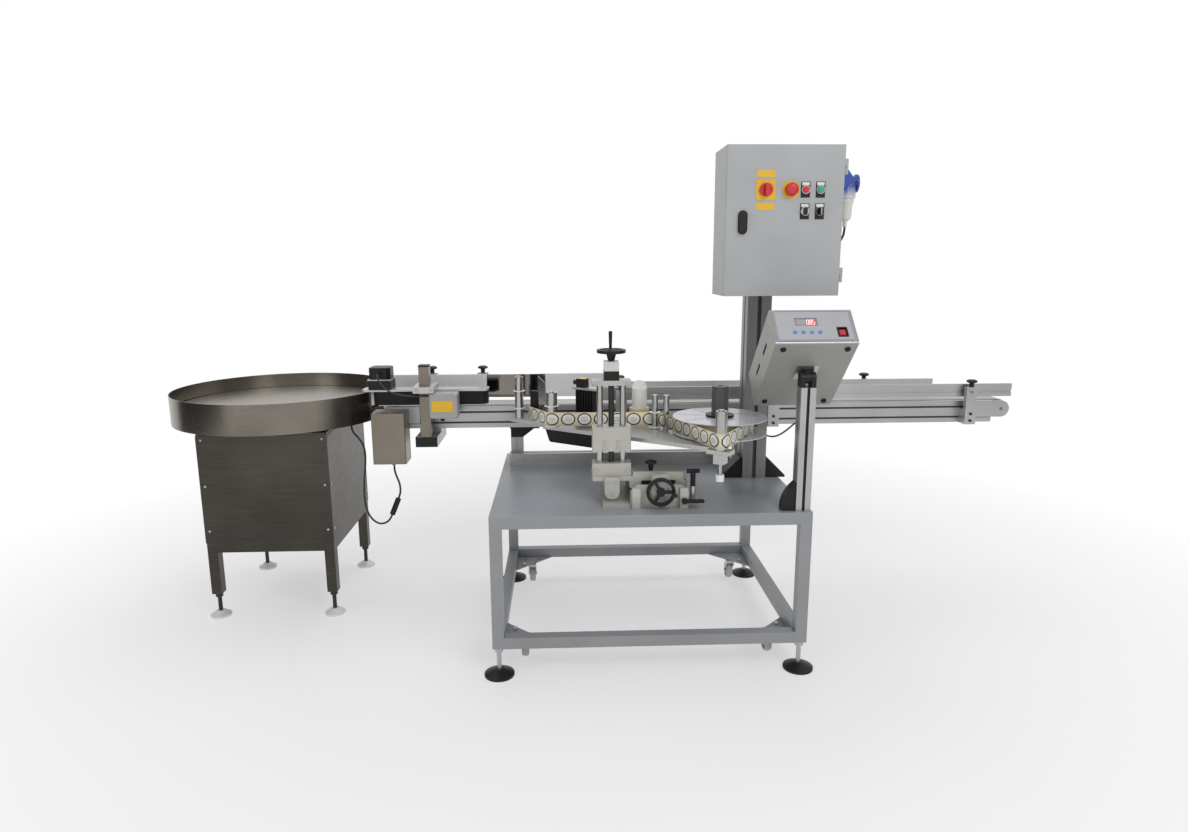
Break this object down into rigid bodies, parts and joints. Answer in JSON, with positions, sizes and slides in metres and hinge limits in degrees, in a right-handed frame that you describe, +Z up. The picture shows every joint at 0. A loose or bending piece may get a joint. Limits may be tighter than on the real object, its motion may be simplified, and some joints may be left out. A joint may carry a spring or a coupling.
{
  "type": "bottle labelling machine",
  "caption": "Labelling machine with turning infeed tray, belt conveyor, spacing belt, adjustable labelling head with reel, switch cabinet and control box on a wheeled cart.",
  "frame": {"origin": "middle of the machine's footprint on the floor, leads not counted", "axes": "+X along the belt from the turning tray to the outlet, +Y from the operator's side to the back, +Z up"},
  "size_m": [3.4539, 1.2688, 1.79],
  "materials": {
    "frame_paint": "satin",
    "table_paint": "satin",
    "cabinet_paint": "satin",
    "plate_paint": "satin",
    "stainless": "brushed",
    "aluminium": "satin",
    "dark_aluminium": "anodised",
    "chrome": "polished",
    "black_plastic": "matte",
    "white_plastic": "matte",
    "grey_plastic": "matte",
    "blue_plastic": "gloss",
    "red_plastic": "gloss",
    "green_plastic": "gloss",
    "black_rubber": "matte",
    "belt_rubber": "matte",
    "motor_iron": "painted",
    "label_paper": "satin"
  },
  "bodies": {
    "machine": {"table_frame": "frame_paint", "table_top": "table_paint", "levelling_feet": "black_plastic", "castor_forks": "chrome", "turntable_base": "stainless", "tray_rim": "stainless", "gear_motors": "motor_iron", "conveyor_frame": "aluminium", "conveyor_belt": "belt_rubber", "conveyor_stand": "aluminium", "guide_brackets": "black_plastic", "spacer_plate": "dark_aluminium", "spacer_belt": "black_rubber", "junction_box": "cabinet_paint", "drive_box": "stainless", "column": "aluminium", "cabinet_shell": "cabinet_paint", "power_outlet": "blue_plastic", "control_post": "dark_aluminium", "slide_base": "plate_paint", "tray_lead": "black_rubber", "lead_connector": "black_rubber", "supply_lead": "black_rubber", "control_lead": "black_rubber"},
    "labelling_head": {"lift_carriage": "plate_paint", "head_plate": "aluminium", "head_cover": "black_plastic", "label_web": "label_paper"},
    "castor_wheel_front_left": {"castor_wheel_front_left": "white_plastic"},
    "castor_wheel_front_right": {"castor_wheel_front_right": "white_plastic"},
    "castor_wheel_rear_left": {"castor_wheel_rear_left": "white_plastic"},
    "castor_wheel_rear_right": {"castor_wheel_rear_right": "white_plastic"},
    "tray_disc": {"tray_disc": "stainless"},
    "drive_roller": {"drive_roller": "aluminium"},
    "tail_roller": {"tail_roller": "aluminium"},
    "guide_rail_front": {"guide_rail_front": "aluminium"},
    "guide_rail_rear": {"guide_rail_rear": "aluminium"},
    "guide_knob_front": {"guide_knob_front": "black_plastic"},
    "guide_knob_rear": {"guide_knob_rear": "black_plastic"},
    "spacer_pulley": {"spacer_pulley": "dark_aluminium"},
    "cabinet_door": {"cabinet_door": "cabinet_paint"},
    "door_latch": {"door_latch": "black_plastic"},
    "main_switch": {"main_switch": "red_plastic"},
    "emergency_stop": {"emergency_stop": "red_plastic"},
    "stop_button": {"stop_button": "red_plastic"},
    "start_button": {"start_button": "green_plastic"},
    "selector_left": {"selector_left": "black_plastic"},
    "selector_right": {"selector_right": "black_plastic"},
    "control_box": {"control_box": "cabinet_paint"},
    "rocker_switch": {"rocker_switch": "red_plastic"},
    "lift_tower": {"lift_tower": "plate_paint"},
    "slide_wheel": {"slide_wheel": "black_plastic"},
    "lift_wheel": {"lift_wheel": "black_plastic"},
    "press_roller": {"press_roller": "black_rubber"},
    "guide_roller": {"guide_roller": "aluminium"},
    "tension_roller": {"tension_roller": "chrome"},
    "rewind_spool": {"rewind_spool": "white_plastic"},
    "label_reel": {"label_reel": "grey_plastic"},
    "clamp_lever": {"clamp_lever": "black_plastic"},
    "clamp_handle": {"clamp_handle": "black_plastic"}
  },
  "joints": [
    {"name": "castor_front_left_roll", "type": "hinge", "parent": "machine", "child": "castor_wheel_front_left", "pos_m": [-0.273, -0.45813, 0.0515], "axis": [1, 0, 0], "continuous": true},
    {"name": "castor_front_right_roll", "type": "hinge", "parent": "machine", "child": "castor_wheel_front_right", "pos_m": [0.603, -0.45813, 0.0515], "axis": [1, 0, 0], "continuous": true},
    {"name": "castor_rear_left_roll", "type": "hinge", "parent": "machine", "child": "castor_wheel_rear_left", "pos_m": [-0.273, 0.21487, 0.0515], "axis": [1, 0, 0], "continuous": true},
    {"name": "castor_rear_right_roll", "type": "hinge", "parent": "machine", "child": "castor_wheel_rear_right", "pos_m": [0.603, 0.21487, 0.0515], "axis": [1, 0, 0], "continuous": true},
    {"name": "tray_turn", "type": "hinge", "parent": "machine", "child": "tray_disc", "pos_m": [-1.302, 0.20937, 0.836], "axis": [0, 0, 1], "continuous": true},
    {"name": "drive_roller_turn", "type": "hinge", "parent": "machine", "child": "drive_roller", "pos_m": [-0.829, 0.13337, 0.802], "axis": [0, 1, 0], "continuous": true},
    {"name": "tail_roller_turn", "type": "hinge", "parent": "machine", "child": "tail_roller", "pos_m": [1.691, 0.13337, 0.802], "axis": [0, 1, 0], "continuous": true},
    {"name": "front_rail_shift", "type": "slide", "parent": "machine", "child": "guide_rail_front", "axis": [0, 1, 0], "range_m": [-0.015, 0.015]},
    {"name": "rear_rail_shift", "type": "slide", "parent": "machine", "child": "guide_rail_rear", "axis": [0, 1, 0], "range_m": [-0.015, 0.015]},
    {"name": "front_knob_turn", "type": "hinge", "parent": "machine", "child": "guide_knob_front", "pos_m": [1.54, 0.02237, 0.9], "axis": [0, 0, 1], "range_deg": [0, 360]},
    {"name": "rear_knob_turn", "type": "hinge", "parent": "machine", "child": "guide_knob_rear", "pos_m": [1.178, 0.24437, 0.9], "axis": [0, 0, 1], "range_deg": [0, 360]},
    {"name": "spacer_pulley_turn", "type": "hinge", "parent": "machine", "child": "spacer_pulley", "pos_m": [-0.852, 0.04937, 0.88], "axis": [0, 0, 1], "continuous": true},
    {"name": "door_swing", "type": "hinge", "parent": "machine", "child": "cabinet_door", "pos_m": [0.839, -0.34763, 1.54], "axis": [0, 0, 1], "range_deg": [0, 110]},
    {"name": "latch_turn", "type": "hinge", "parent": "cabinet_door", "child": "door_latch", "pos_m": [0.487, -0.36863, 1.537], "axis": [0, 1, 0], "range_deg": [0, 90]},
    {"name": "main_switch_turn", "type": "hinge", "parent": "cabinet_door", "child": "main_switch", "pos_m": [0.563, -0.36863, 1.644], "axis": [0, 1, 0], "range_deg": [0, 90]},
    {"name": "emergency_stop_press", "type": "slide", "parent": "cabinet_door", "child": "emergency_stop", "axis": [0, 1, 0], "range_m": [0, 0.006]},
    {"name": "stop_button_press", "type": "slide", "parent": "cabinet_door", "child": "stop_button", "axis": [0, 1, 0], "range_m": [0, 0.004], "stiffness_N_per_m": 500},
    {"name": "start_button_press", "type": "slide", "parent": "cabinet_door", "child": "start_button", "axis": [0, 1, 0], "range_m": [0, 0.004], "stiffness_N_per_m": 500},
    {"name": "selector_left_turn", "type": "hinge", "parent": "cabinet_door", "child": "selector_left", "pos_m": [0.698, -0.36863, 1.573], "axis": [0, 1, 0], "range_deg": [-45, 45]},
    {"name": "selector_right_turn", "type": "hinge", "parent": "cabinet_door", "child": "selector_right", "pos_m": [0.749, -0.36863, 1.573], "axis": [0, 1, 0], "range_deg": [-45, 45]},
    {"name": "control_box_tilt", "type": "hinge", "parent": "machine", "child": "control_box", "pos_m": [0.679, -0.54663, 1.03], "axis": [1, 0, 0], "range_deg": [-8, 20]},
    {"name": "rocker_tip", "type": "hinge", "parent": "control_box", "child": "rocker_switch", "pos_m": [0.767, -0.60355, 1.18239], "axis": [1, 0, 0], "range_deg": [-8, 8]},
    {"name": "slide_wheel_turn", "type": "hinge", "parent": "machine", "child": "slide_wheel", "pos_m": [0.201, -0.52763, 0.641], "axis": [0, 1, 0], "range_deg": [-1630, 1810]},
    {"name": "cross_slide", "type": "slide", "parent": "machine", "child": "lift_tower", "axis": [0, 1, 0], "range_m": [-0.018, 0.02]},
    {"name": "lift_wheel_turn", "type": "hinge", "parent": "lift_tower", "child": "lift_wheel", "pos_m": [0.039, -0.41463, 1.103], "axis": [0, 0, 1], "range_deg": [-2710, 1360]},
    {"name": "head_lift", "type": "slide", "parent": "lift_tower", "child": "labelling_head", "axis": [0, 0, 1], "range_m": [-0.03, 0.015]},
    {"name": "reel_turn", "type": "hinge", "parent": "labelling_head", "child": "label_reel", "pos_m": [0.43452, -0.3338, 0.86], "axis": [0, 0, 1], "continuous": true},
    {"name": "tension_roller_turn", "type": "hinge", "parent": "labelling_head", "child": "tension_roller", "pos_m": [0.38734, -0.59768, 0.86], "axis": [0, 0, 1], "continuous": true},
    {"name": "guide_roller_turn", "type": "hinge", "parent": "labelling_head", "child": "guide_roller", "pos_m": [-0.17097, -0.19187, 0.86], "axis": [0, 0, 1], "continuous": true},
    {"name": "spool_turn", "type": "hinge", "parent": "labelling_head", "child": "rewind_spool", "pos_m": [0.1653, -0.11649, 0.86], "axis": [0, 0, 1], "continuous": true},
    {"name": "press_roller_turn", "type": "hinge", "parent": "labelling_head", "child": "press_roller", "pos_m": [-0.30258, -0.00754, 0.86], "axis": [0, 0, 1], "continuous": true},
    {"name": "clamp_lever_lift", "type": "hinge", "parent": "machine", "child": "clamp_lever", "pos_m": [0.283, -0.52663, 0.606], "axis": [0, -1, 0], "range_deg": [0, 60]},
    {"name": "clamp_handle_turn", "type": "hinge", "parent": "machine", "child": "clamp_handle", "pos_m": [0.317, -0.48663, 0.68], "axis": [0, 0, 1], "range_deg": [-90, 90]}
  ],
  "couplings": [
    {"joint": "tail_roller_turn", "follows": "drive_roller_turn", "ratio": 1},
    {"joint": "slide_wheel_turn", "follows": "cross_slide", "rad_per_m": 1570.8},
    {"joint": "lift_wheel_turn", "follows": "head_lift", "rad_per_m": 1570.8},
    {"joint": "tension_roller_turn", "follows": "reel_turn", "ratio": 6.3158},
    {"joint": "guide_roller_turn", "follows": "reel_turn", "ratio": 6.6667},
    {"joint": "spool_turn", "follows": "reel_turn", "ratio": 3.1579}
  ]
}
